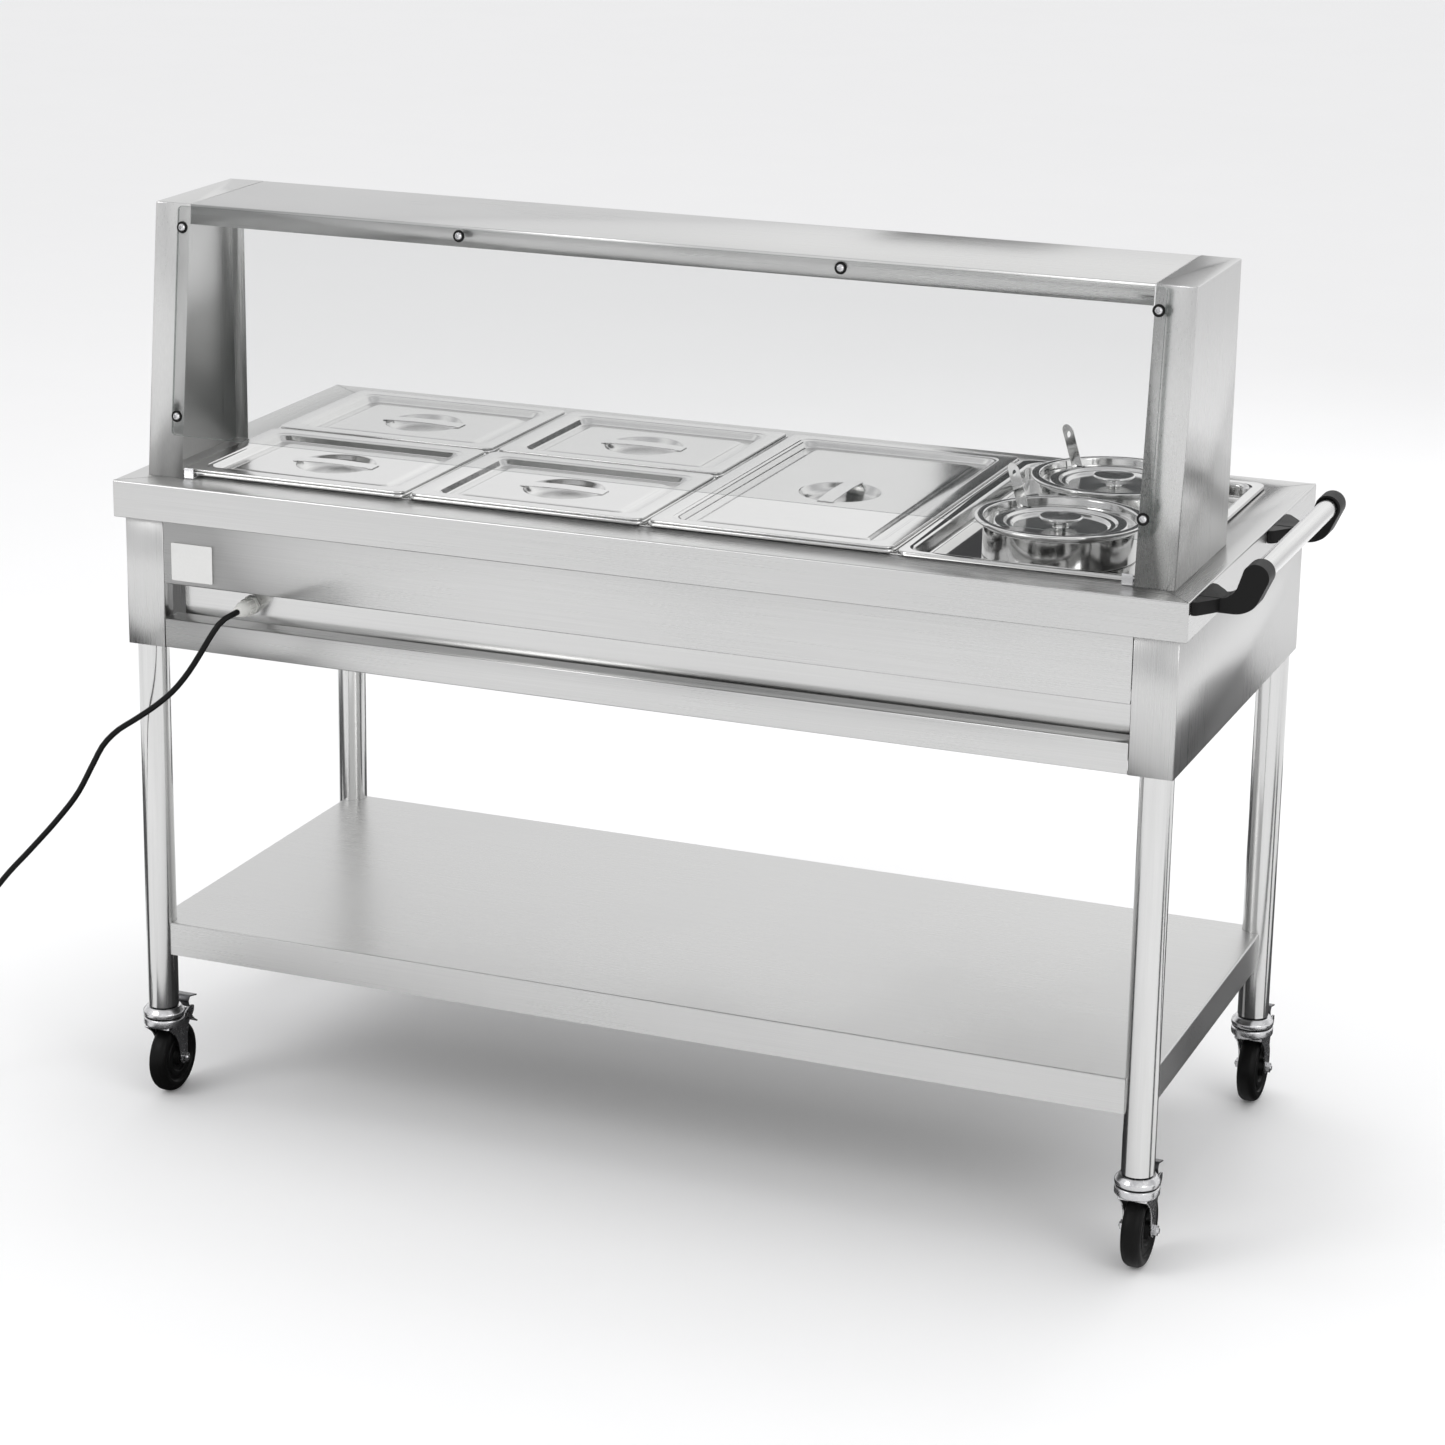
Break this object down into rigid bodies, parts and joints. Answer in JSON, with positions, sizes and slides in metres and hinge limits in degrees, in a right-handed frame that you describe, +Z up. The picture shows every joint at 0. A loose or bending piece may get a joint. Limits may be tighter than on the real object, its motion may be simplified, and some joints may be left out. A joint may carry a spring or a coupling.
{
  "type": "steam table unit",
  "caption": "Wheeled food-warming counter with lidded pans, soup pots, a glass sneeze guard, an under shelf and an end handle.",
  "frame": {"origin": "on the floor, under the middle of the unit's outer box, handle and brake pedals included and the power cord left out", "axes": "+X along the counter to the handle end, +Y from the customers' side to the operator's side, +Z up"},
  "size_m": [1.9555, 0.8485, 1.24],
  "materials": {
    "brushed_steel": "brushed, fine straight grain",
    "polished_steel": "polished",
    "zinc": "bright zinc plate",
    "glass": "clear, polished edges",
    "black_plastic": "fine texture",
    "rubber": "smooth solid rubber",
    "cord_rubber": "smooth sheath",
    "white_plastic": "smooth nylon",
    "brass": "machined"
  },
  "bodies": {
    "unit": {"counter_top": "brushed_steel", "left_end_panel": "brushed_steel", "right_end_panel": "brushed_steel", "front_upper_panel": "brushed_steel", "front_lower_rail": "brushed_steel", "rear_control_panel": "brushed_steel", "well_casing": "brushed_steel", "water_tank": "polished_steel", "heating_element": "zinc", "pan_frame": "brushed_steel", "guard_post_left": "brushed_steel", "guard_post_right": "brushed_steel", "guard_canopy": "brushed_steel", "guard_glass": "glass", "handle_bracket_front": "black_plastic", "handle_bracket_back": "black_plastic", "handle_tube": "polished_steel", "under_shelf": "brushed_steel", "shelf_stiffener": "brushed_steel", "drain_valve": "brass", "cord_gland": "white_plastic", "power_cord": "cord_rubber", "cord_coil": "cord_rubber", "plug": "black_plastic", "leg_front_left": "polished_steel", "leg_front_right": "polished_steel", "leg_back_left": "polished_steel", "leg_back_right": "polished_steel"},
    "caster_front_left": {"caster_fork_front_left": "zinc"},
    "wheel_front_left": {"caster_wheel_front_left": "rubber"},
    "pedal_front_left": {"brake_pedal_front_left": "zinc"},
    "caster_front_right": {"caster_fork_front_right": "zinc"},
    "wheel_front_right": {"caster_wheel_front_right": "rubber"},
    "pedal_front_right": {"brake_pedal_front_right": "zinc"},
    "caster_back_left": {"caster_fork_back_left": "zinc"},
    "wheel_back_left": {"caster_wheel_back_left": "rubber"},
    "pedal_back_left": {"brake_pedal_back_left": "zinc"},
    "caster_back_right": {"caster_fork_back_right": "zinc"},
    "wheel_back_right": {"caster_wheel_back_right": "rubber"},
    "pedal_back_right": {"brake_pedal_back_right": "zinc"},
    "half_pan_front_1": {"half_pan_front_1": "polished_steel"},
    "half_lid_front_1": {"half_lid_front_1": "polished_steel"},
    "half_pan_back_1": {"half_pan_back_1": "polished_steel"},
    "half_lid_back_1": {"half_lid_back_1": "polished_steel"},
    "half_pan_front_2": {"half_pan_front_2": "polished_steel"},
    "half_lid_front_2": {"half_lid_front_2": "polished_steel"},
    "half_pan_back_2": {"half_pan_back_2": "polished_steel"},
    "half_lid_back_2": {"half_lid_back_2": "polished_steel"},
    "full_pan": {"full_pan": "polished_steel"},
    "full_lid": {"full_lid": "polished_steel"},
    "soup_adapter": {"soup_adapter": "polished_steel"},
    "soup_pot_front": {"soup_pot_front": "polished_steel"},
    "pot_lid_front": {"pot_lid_front": "polished_steel"},
    "ladle_front": {"ladle_front": "polished_steel"},
    "soup_pot_back": {"soup_pot_back": "polished_steel"},
    "pot_lid_back": {"pot_lid_back": "polished_steel"},
    "ladle_back": {"ladle_back": "polished_steel"},
    "thermostat_knob": {"thermostat_knob": "black_plastic"},
    "power_switch": {"power_switch": "black_plastic"},
    "drain_lever": {"drain_lever": "black_plastic"}
  },
  "joints": [
    {"name": "swivel_front_left", "type": "hinge", "parent": "unit", "child": "caster_front_left", "pos_m": [-0.7335, -0.3095, 0.12], "axis": [0, 0, 1], "continuous": true},
    {"name": "roll_front_left", "type": "hinge", "parent": "caster_front_left", "child": "wheel_front_left", "pos_m": [-0.7335, -0.289, 0.05], "axis": [1, 0, 0], "continuous": true},
    {"name": "brake_front_left", "type": "hinge", "parent": "caster_front_left", "child": "pedal_front_left", "pos_m": [-0.7335, -0.2645, 0.113], "axis": [1, 0, 0], "range_deg": [-12, 0]},
    {"name": "swivel_front_right", "type": "hinge", "parent": "unit", "child": "caster_front_right", "pos_m": [0.6495, -0.3095, 0.12], "axis": [0, 0, 1], "continuous": true},
    {"name": "roll_front_right", "type": "hinge", "parent": "caster_front_right", "child": "wheel_front_right", "pos_m": [0.6495, -0.289, 0.05], "axis": [1, 0, 0], "continuous": true},
    {"name": "brake_front_right", "type": "hinge", "parent": "caster_front_right", "child": "pedal_front_right", "pos_m": [0.6495, -0.2645, 0.113], "axis": [1, 0, 0], "range_deg": [-12, 0]},
    {"name": "swivel_back_left", "type": "hinge", "parent": "unit", "child": "caster_back_left", "pos_m": [-0.7335, 0.2705, 0.12], "axis": [0, 0, 1], "continuous": true},
    {"name": "roll_back_left", "type": "hinge", "parent": "caster_back_left", "child": "wheel_back_left", "pos_m": [-0.7335, 0.291, 0.05], "axis": [1, 0, 0], "continuous": true},
    {"name": "brake_back_left", "type": "hinge", "parent": "caster_back_left", "child": "pedal_back_left", "pos_m": [-0.7335, 0.3155, 0.113], "axis": [1, 0, 0], "range_deg": [-12, 0]},
    {"name": "swivel_back_right", "type": "hinge", "parent": "unit", "child": "caster_back_right", "pos_m": [0.6495, 0.2705, 0.12], "axis": [0, 0, 1], "continuous": true},
    {"name": "roll_back_right", "type": "hinge", "parent": "caster_back_right", "child": "wheel_back_right", "pos_m": [0.6495, 0.291, 0.05], "axis": [1, 0, 0], "continuous": true},
    {"name": "brake_back_right", "type": "hinge", "parent": "caster_back_right", "child": "pedal_back_right", "pos_m": [0.6495, 0.3155, 0.113], "axis": [1, 0, 0], "range_deg": [-12, 0]},
    {"name": "lift_half_pan_front_1", "type": "slide", "parent": "unit", "child": "half_pan_front_1", "axis": [0, 0.1077, 0.9942], "range_m": [0, 0.17]},
    {"name": "lift_half_lid_front_1", "type": "slide", "parent": "half_pan_front_1", "child": "half_lid_front_1", "axis": [0, 0.7071, 0.7071], "range_m": [0, 0.55]},
    {"name": "lift_half_pan_back_1", "type": "slide", "parent": "unit", "child": "half_pan_back_1", "axis": [0, 0.1077, 0.9942], "range_m": [0, 0.52]},
    {"name": "lift_half_lid_back_1", "type": "slide", "parent": "half_pan_back_1", "child": "half_lid_back_1", "axis": [0, 0.7071, 0.7071], "range_m": [0, 0.55]},
    {"name": "lift_half_pan_front_2", "type": "slide", "parent": "unit", "child": "half_pan_front_2", "axis": [0, 0.1077, 0.9942], "range_m": [0, 0.17]},
    {"name": "lift_half_lid_front_2", "type": "slide", "parent": "half_pan_front_2", "child": "half_lid_front_2", "axis": [0, 0.7071, 0.7071], "range_m": [0, 0.55]},
    {"name": "lift_half_pan_back_2", "type": "slide", "parent": "unit", "child": "half_pan_back_2", "axis": [0, 0.1077, 0.9942], "range_m": [0, 0.52]},
    {"name": "lift_half_lid_back_2", "type": "slide", "parent": "half_pan_back_2", "child": "half_lid_back_2", "axis": [0, 0.7071, 0.7071], "range_m": [0, 0.55]},
    {"name": "lift_full_pan", "type": "slide", "parent": "unit", "child": "full_pan", "axis": [0, 0.1077, 0.9942], "range_m": [0, 0.17]},
    {"name": "lift_full_lid", "type": "slide", "parent": "full_pan", "child": "full_lid", "axis": [0, 0.7071, 0.7071], "range_m": [0, 0.55]},
    {"name": "lift_soup_adapter", "type": "slide", "parent": "unit", "child": "soup_adapter", "axis": [0, 0, 1], "range_m": [0, 0.03]},
    {"name": "lift_soup_pot_front", "type": "slide", "parent": "soup_adapter", "child": "soup_pot_front", "axis": [0, 0, 1], "range_m": [0, 0.15]},
    {"name": "lift_pot_lid_front", "type": "slide", "parent": "soup_pot_front", "child": "pot_lid_front", "axis": [0, 0, 1], "range_m": [0, 0.075]},
    {"name": "lift_ladle_front", "type": "slide", "parent": "soup_pot_front", "child": "ladle_front", "axis": [-0.2924, 0, 0.9563], "range_m": [0, 0.06]},
    {"name": "lift_soup_pot_back", "type": "slide", "parent": "soup_adapter", "child": "soup_pot_back", "axis": [0, 0, 1], "range_m": [0, 0.15]},
    {"name": "lift_pot_lid_back", "type": "slide", "parent": "soup_pot_back", "child": "pot_lid_back", "axis": [0, 0, 1], "range_m": [0, 0.075]},
    {"name": "lift_ladle_back", "type": "slide", "parent": "soup_pot_back", "child": "ladle_back", "axis": [-0.2924, 0, 0.9563], "range_m": [0, 0.06]},
    {"name": "turn_thermostat_knob", "type": "hinge", "parent": "unit", "child": "thermostat_knob", "pos_m": [0.358, 0.2933, 0.765], "axis": [0, -1, 0], "range_deg": [0, 270]},
    {"name": "rock_power_switch", "type": "hinge", "parent": "unit", "child": "power_switch", "pos_m": [0.458, 0.2948, 0.765], "axis": [1, 0, 0], "range_deg": [0, 14]},
    {"name": "turn_drain_lever", "type": "hinge", "parent": "unit", "child": "drain_lever", "pos_m": [0.258, 0.305, 0.69], "axis": [0, 0, 1], "range_deg": [-90, 0]}
  ]
}
